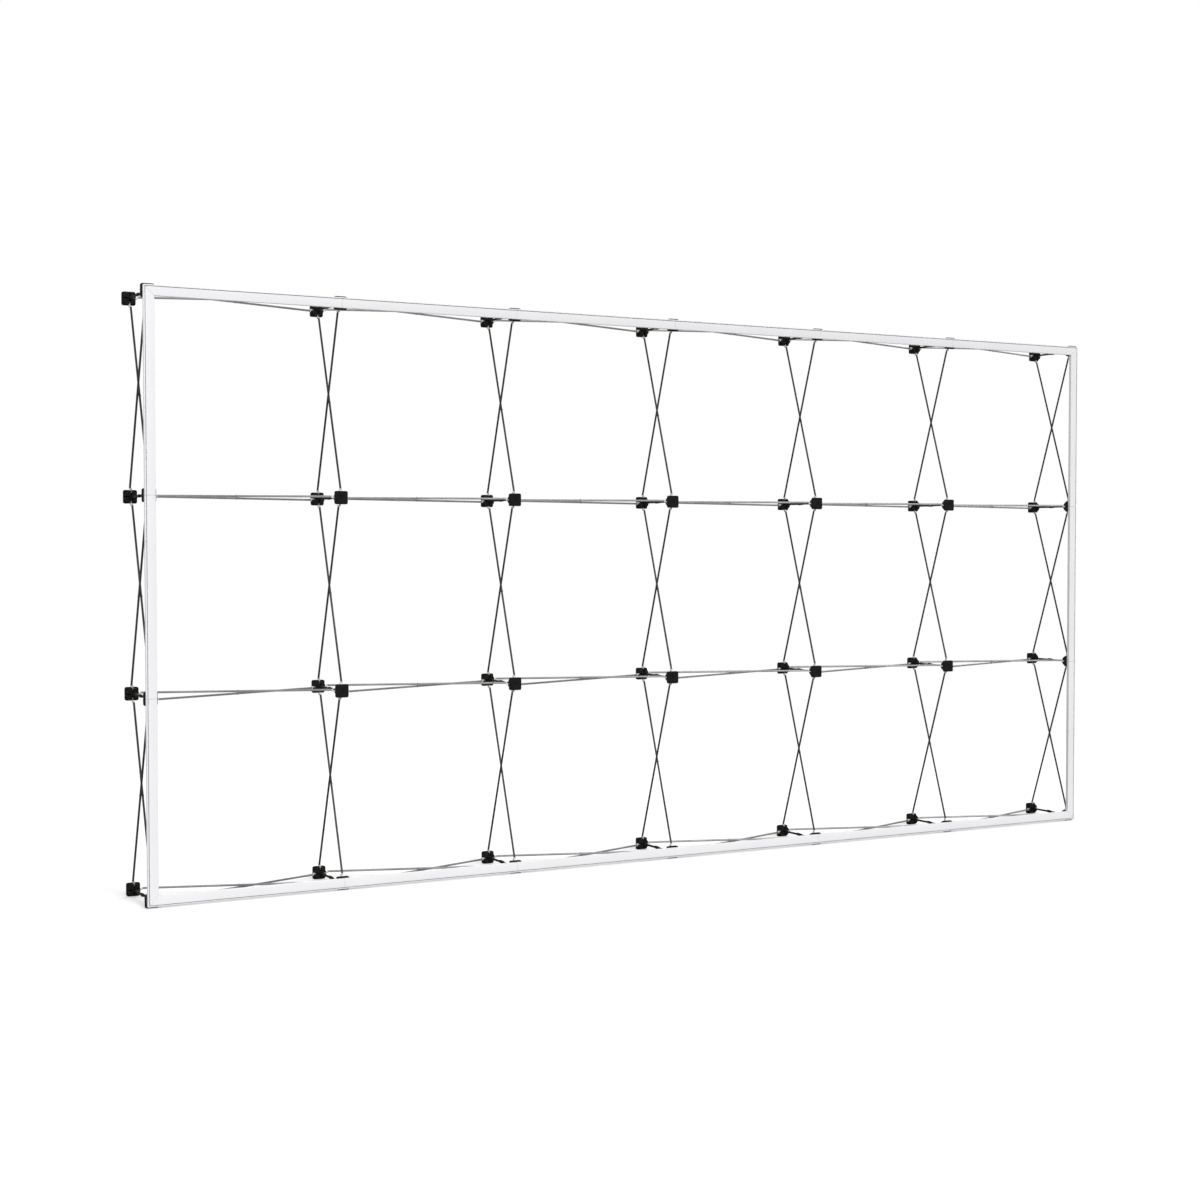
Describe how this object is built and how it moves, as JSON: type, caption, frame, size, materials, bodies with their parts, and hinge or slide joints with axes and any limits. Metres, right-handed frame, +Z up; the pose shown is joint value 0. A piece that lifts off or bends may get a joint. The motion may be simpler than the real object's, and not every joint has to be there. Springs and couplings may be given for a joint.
{
  "type": "pop-up display wall",
  "caption": "Free-standing pop-up display wall frame: front and back layers of black hubs joined by crossed scissor tubes, hook locks, and a rim of white clip-on channel bars",
  "frame": {"origin": "on the floor, under the middle of the wall's box", "axes": "+X along the wall to the right seen from its front, +Y from its front to its back, +Z up"},
  "size_m": [4.491, 0.288, 2.271],
  "materials": {
    "hub_black": "black moulded nylon",
    "lock_black": "black moulded nylon",
    "tube_grey": "dark grey anodised, satin",
    "tip_cream": "natural moulded nylon",
    "pin_steel": "plain steel",
    "bar_white": "white extruded plastic, satin"
  },
  "bodies": {
    "frame": {"front_hubs": "hub_black", "back_hubs": "hub_black", "level_tubes": "tube_grey", "upright_tubes": "tube_grey", "level_tube_tips": "tip_cream", "upright_tube_tips": "tip_cream", "level_hub_pins": "pin_steel", "upright_hub_pins": "pin_steel", "level_rivets": "pin_steel", "upright_rivets": "pin_steel", "lock_catches": "lock_black", "lock_catch_pins": "pin_steel", "lock_pivot_pins": "pin_steel", "bar_clips": "hub_black"},
    "lock_hook_level_1_column_1": {"lock_hook_level_1_column_1": "lock_black"},
    "lock_hook_level_1_column_2": {"lock_hook_level_1_column_2": "lock_black"},
    "lock_hook_level_1_column_3": {"lock_hook_level_1_column_3": "lock_black"},
    "lock_hook_level_1_column_4": {"lock_hook_level_1_column_4": "lock_black"},
    "lock_hook_level_1_column_5": {"lock_hook_level_1_column_5": "lock_black"},
    "lock_hook_level_1_column_6": {"lock_hook_level_1_column_6": "lock_black"},
    "lock_hook_level_1_column_7": {"lock_hook_level_1_column_7": "lock_black"},
    "lock_hook_level_2_column_1": {"lock_hook_level_2_column_1": "lock_black"},
    "lock_hook_level_2_column_2": {"lock_hook_level_2_column_2": "lock_black"},
    "lock_hook_level_2_column_3": {"lock_hook_level_2_column_3": "lock_black"},
    "lock_hook_level_2_column_4": {"lock_hook_level_2_column_4": "lock_black"},
    "lock_hook_level_2_column_5": {"lock_hook_level_2_column_5": "lock_black"},
    "lock_hook_level_2_column_6": {"lock_hook_level_2_column_6": "lock_black"},
    "lock_hook_level_2_column_7": {"lock_hook_level_2_column_7": "lock_black"},
    "lock_hook_level_3_column_1": {"lock_hook_level_3_column_1": "lock_black"},
    "lock_hook_level_3_column_2": {"lock_hook_level_3_column_2": "lock_black"},
    "lock_hook_level_3_column_3": {"lock_hook_level_3_column_3": "lock_black"},
    "lock_hook_level_3_column_4": {"lock_hook_level_3_column_4": "lock_black"},
    "lock_hook_level_3_column_5": {"lock_hook_level_3_column_5": "lock_black"},
    "lock_hook_level_3_column_6": {"lock_hook_level_3_column_6": "lock_black"},
    "lock_hook_level_3_column_7": {"lock_hook_level_3_column_7": "lock_black"},
    "lock_hook_level_4_column_1": {"lock_hook_level_4_column_1": "lock_black"},
    "lock_hook_level_4_column_2": {"lock_hook_level_4_column_2": "lock_black"},
    "lock_hook_level_4_column_3": {"lock_hook_level_4_column_3": "lock_black"},
    "lock_hook_level_4_column_4": {"lock_hook_level_4_column_4": "lock_black"},
    "lock_hook_level_4_column_5": {"lock_hook_level_4_column_5": "lock_black"},
    "lock_hook_level_4_column_6": {"lock_hook_level_4_column_6": "lock_black"},
    "lock_hook_level_4_column_7": {"lock_hook_level_4_column_7": "lock_black"},
    "top_bar_1": {"top_bar_1": "bar_white"},
    "top_bar_2": {"top_bar_2": "bar_white"},
    "top_bar_3": {"top_bar_3": "bar_white"},
    "top_bar_4": {"top_bar_4": "bar_white"},
    "top_bar_5": {"top_bar_5": "bar_white"},
    "top_bar_6": {"top_bar_6": "bar_white"},
    "right_bar_1": {"right_bar_1": "bar_white"},
    "right_bar_2": {"right_bar_2": "bar_white"},
    "right_bar_3": {"right_bar_3": "bar_white"},
    "bottom_bar_1": {"bottom_bar_1": "bar_white"},
    "bottom_bar_2": {"bottom_bar_2": "bar_white"},
    "bottom_bar_3": {"bottom_bar_3": "bar_white"},
    "bottom_bar_4": {"bottom_bar_4": "bar_white"},
    "bottom_bar_5": {"bottom_bar_5": "bar_white"},
    "bottom_bar_6": {"bottom_bar_6": "bar_white"},
    "left_bar_1": {"left_bar_1": "bar_white"},
    "left_bar_2": {"left_bar_2": "bar_white"},
    "left_bar_3": {"left_bar_3": "bar_white"}
  },
  "joints": [
    {"name": "lift_lock_hook_level_1_column_1", "type": "hinge", "parent": "frame", "child": "lock_hook_level_1_column_1", "pos_m": [-2.22, 0.108, 0.0255], "axis": [-1, 0, 0], "range_deg": [0, 35]},
    {"name": "lift_lock_hook_level_1_column_2", "type": "hinge", "parent": "frame", "child": "lock_hook_level_1_column_2", "pos_m": [-1.48, 0.108, 0.0255], "axis": [-1, 0, 0], "range_deg": [0, 35]},
    {"name": "lift_lock_hook_level_1_column_3", "type": "hinge", "parent": "frame", "child": "lock_hook_level_1_column_3", "pos_m": [-0.74, 0.108, 0.0255], "axis": [-1, 0, 0], "range_deg": [0, 35]},
    {"name": "lift_lock_hook_level_1_column_4", "type": "hinge", "parent": "frame", "child": "lock_hook_level_1_column_4", "pos_m": [0, 0.108, 0.0255], "axis": [-1, 0, 0], "range_deg": [0, 35]},
    {"name": "lift_lock_hook_level_1_column_5", "type": "hinge", "parent": "frame", "child": "lock_hook_level_1_column_5", "pos_m": [0.74, 0.108, 0.0255], "axis": [-1, 0, 0], "range_deg": [0, 35]},
    {"name": "lift_lock_hook_level_1_column_6", "type": "hinge", "parent": "frame", "child": "lock_hook_level_1_column_6", "pos_m": [1.48, 0.108, 0.0255], "axis": [-1, 0, 0], "range_deg": [0, 35]},
    {"name": "lift_lock_hook_level_1_column_7", "type": "hinge", "parent": "frame", "child": "lock_hook_level_1_column_7", "pos_m": [2.22, 0.108, 0.0255], "axis": [-1, 0, 0], "range_deg": [0, 35]},
    {"name": "lift_lock_hook_level_2_column_1", "type": "hinge", "parent": "frame", "child": "lock_hook_level_2_column_1", "pos_m": [-2.22, 0.108, 0.7655], "axis": [-1, 0, 0], "range_deg": [0, 35]},
    {"name": "lift_lock_hook_level_2_column_2", "type": "hinge", "parent": "frame", "child": "lock_hook_level_2_column_2", "pos_m": [-1.48, 0.108, 0.7655], "axis": [-1, 0, 0], "range_deg": [0, 35]},
    {"name": "lift_lock_hook_level_2_column_3", "type": "hinge", "parent": "frame", "child": "lock_hook_level_2_column_3", "pos_m": [-0.74, 0.108, 0.7655], "axis": [-1, 0, 0], "range_deg": [0, 35]},
    {"name": "lift_lock_hook_level_2_column_4", "type": "hinge", "parent": "frame", "child": "lock_hook_level_2_column_4", "pos_m": [0, 0.108, 0.7655], "axis": [-1, 0, 0], "range_deg": [0, 35]},
    {"name": "lift_lock_hook_level_2_column_5", "type": "hinge", "parent": "frame", "child": "lock_hook_level_2_column_5", "pos_m": [0.74, 0.108, 0.7655], "axis": [-1, 0, 0], "range_deg": [0, 35]},
    {"name": "lift_lock_hook_level_2_column_6", "type": "hinge", "parent": "frame", "child": "lock_hook_level_2_column_6", "pos_m": [1.48, 0.108, 0.7655], "axis": [-1, 0, 0], "range_deg": [0, 35]},
    {"name": "lift_lock_hook_level_2_column_7", "type": "hinge", "parent": "frame", "child": "lock_hook_level_2_column_7", "pos_m": [2.22, 0.108, 0.7655], "axis": [-1, 0, 0], "range_deg": [0, 35]},
    {"name": "lift_lock_hook_level_3_column_1", "type": "hinge", "parent": "frame", "child": "lock_hook_level_3_column_1", "pos_m": [-2.22, 0.108, 1.5055], "axis": [-1, 0, 0], "range_deg": [0, 35]},
    {"name": "lift_lock_hook_level_3_column_2", "type": "hinge", "parent": "frame", "child": "lock_hook_level_3_column_2", "pos_m": [-1.48, 0.108, 1.5055], "axis": [-1, 0, 0], "range_deg": [0, 35]},
    {"name": "lift_lock_hook_level_3_column_3", "type": "hinge", "parent": "frame", "child": "lock_hook_level_3_column_3", "pos_m": [-0.74, 0.108, 1.5055], "axis": [-1, 0, 0], "range_deg": [0, 35]},
    {"name": "lift_lock_hook_level_3_column_4", "type": "hinge", "parent": "frame", "child": "lock_hook_level_3_column_4", "pos_m": [0, 0.108, 1.5055], "axis": [-1, 0, 0], "range_deg": [0, 35]},
    {"name": "lift_lock_hook_level_3_column_5", "type": "hinge", "parent": "frame", "child": "lock_hook_level_3_column_5", "pos_m": [0.74, 0.108, 1.5055], "axis": [-1, 0, 0], "range_deg": [0, 35]},
    {"name": "lift_lock_hook_level_3_column_6", "type": "hinge", "parent": "frame", "child": "lock_hook_level_3_column_6", "pos_m": [1.48, 0.108, 1.5055], "axis": [-1, 0, 0], "range_deg": [0, 35]},
    {"name": "lift_lock_hook_level_3_column_7", "type": "hinge", "parent": "frame", "child": "lock_hook_level_3_column_7", "pos_m": [2.22, 0.108, 1.5055], "axis": [-1, 0, 0], "range_deg": [0, 35]},
    {"name": "lift_lock_hook_level_4_column_1", "type": "hinge", "parent": "frame", "child": "lock_hook_level_4_column_1", "pos_m": [-2.22, 0.108, 2.2455], "axis": [-1, 0, 0], "range_deg": [0, 35]},
    {"name": "lift_lock_hook_level_4_column_2", "type": "hinge", "parent": "frame", "child": "lock_hook_level_4_column_2", "pos_m": [-1.48, 0.108, 2.2455], "axis": [-1, 0, 0], "range_deg": [0, 35]},
    {"name": "lift_lock_hook_level_4_column_3", "type": "hinge", "parent": "frame", "child": "lock_hook_level_4_column_3", "pos_m": [-0.74, 0.108, 2.2455], "axis": [-1, 0, 0], "range_deg": [0, 35]},
    {"name": "lift_lock_hook_level_4_column_4", "type": "hinge", "parent": "frame", "child": "lock_hook_level_4_column_4", "pos_m": [0, 0.108, 2.2455], "axis": [-1, 0, 0], "range_deg": [0, 35]},
    {"name": "lift_lock_hook_level_4_column_5", "type": "hinge", "parent": "frame", "child": "lock_hook_level_4_column_5", "pos_m": [0.74, 0.108, 2.2455], "axis": [-1, 0, 0], "range_deg": [0, 35]},
    {"name": "lift_lock_hook_level_4_column_6", "type": "hinge", "parent": "frame", "child": "lock_hook_level_4_column_6", "pos_m": [1.48, 0.108, 2.2455], "axis": [-1, 0, 0], "range_deg": [0, 35]},
    {"name": "lift_lock_hook_level_4_column_7", "type": "hinge", "parent": "frame", "child": "lock_hook_level_4_column_7", "pos_m": [2.22, 0.108, 2.2455], "axis": [-1, 0, 0], "range_deg": [0, 35]},
    {"name": "unclip_top_bar_1", "type": "slide", "parent": "frame", "child": "top_bar_1", "axis": [0, -1, 0], "range_m": [0, 0.03]},
    {"name": "unclip_top_bar_2", "type": "slide", "parent": "frame", "child": "top_bar_2", "axis": [0, -1, 0], "range_m": [0, 0.03]},
    {"name": "unclip_top_bar_3", "type": "slide", "parent": "frame", "child": "top_bar_3", "axis": [0, -1, 0], "range_m": [0, 0.03]},
    {"name": "unclip_top_bar_4", "type": "slide", "parent": "frame", "child": "top_bar_4", "axis": [0, -1, 0], "range_m": [0, 0.03]},
    {"name": "unclip_top_bar_5", "type": "slide", "parent": "frame", "child": "top_bar_5", "axis": [0, -1, 0], "range_m": [0, 0.03]},
    {"name": "unclip_top_bar_6", "type": "slide", "parent": "frame", "child": "top_bar_6", "axis": [0, -1, 0], "range_m": [0, 0.03]},
    {"name": "unclip_right_bar_1", "type": "slide", "parent": "frame", "child": "right_bar_1", "axis": [0, -1, 0], "range_m": [0, 0.03]},
    {"name": "unclip_right_bar_2", "type": "slide", "parent": "frame", "child": "right_bar_2", "axis": [0, -1, 0], "range_m": [0, 0.03]},
    {"name": "unclip_right_bar_3", "type": "slide", "parent": "frame", "child": "right_bar_3", "axis": [0, -1, 0], "range_m": [0, 0.03]},
    {"name": "unclip_bottom_bar_1", "type": "slide", "parent": "frame", "child": "bottom_bar_1", "axis": [0, -1, 0], "range_m": [0, 0.03]},
    {"name": "unclip_bottom_bar_2", "type": "slide", "parent": "frame", "child": "bottom_bar_2", "axis": [0, -1, 0], "range_m": [0, 0.03]},
    {"name": "unclip_bottom_bar_3", "type": "slide", "parent": "frame", "child": "bottom_bar_3", "axis": [0, -1, 0], "range_m": [0, 0.03]},
    {"name": "unclip_bottom_bar_4", "type": "slide", "parent": "frame", "child": "bottom_bar_4", "axis": [0, -1, 0], "range_m": [0, 0.03]},
    {"name": "unclip_bottom_bar_5", "type": "slide", "parent": "frame", "child": "bottom_bar_5", "axis": [0, -1, 0], "range_m": [0, 0.03]},
    {"name": "unclip_bottom_bar_6", "type": "slide", "parent": "frame", "child": "bottom_bar_6", "axis": [0, -1, 0], "range_m": [0, 0.03]},
    {"name": "unclip_left_bar_1", "type": "slide", "parent": "frame", "child": "left_bar_1", "axis": [0, -1, 0], "range_m": [0, 0.03]},
    {"name": "unclip_left_bar_2", "type": "slide", "parent": "frame", "child": "left_bar_2", "axis": [0, -1, 0], "range_m": [0, 0.03]},
    {"name": "unclip_left_bar_3", "type": "slide", "parent": "frame", "child": "left_bar_3", "axis": [0, -1, 0], "range_m": [0, 0.03]}
  ]
}
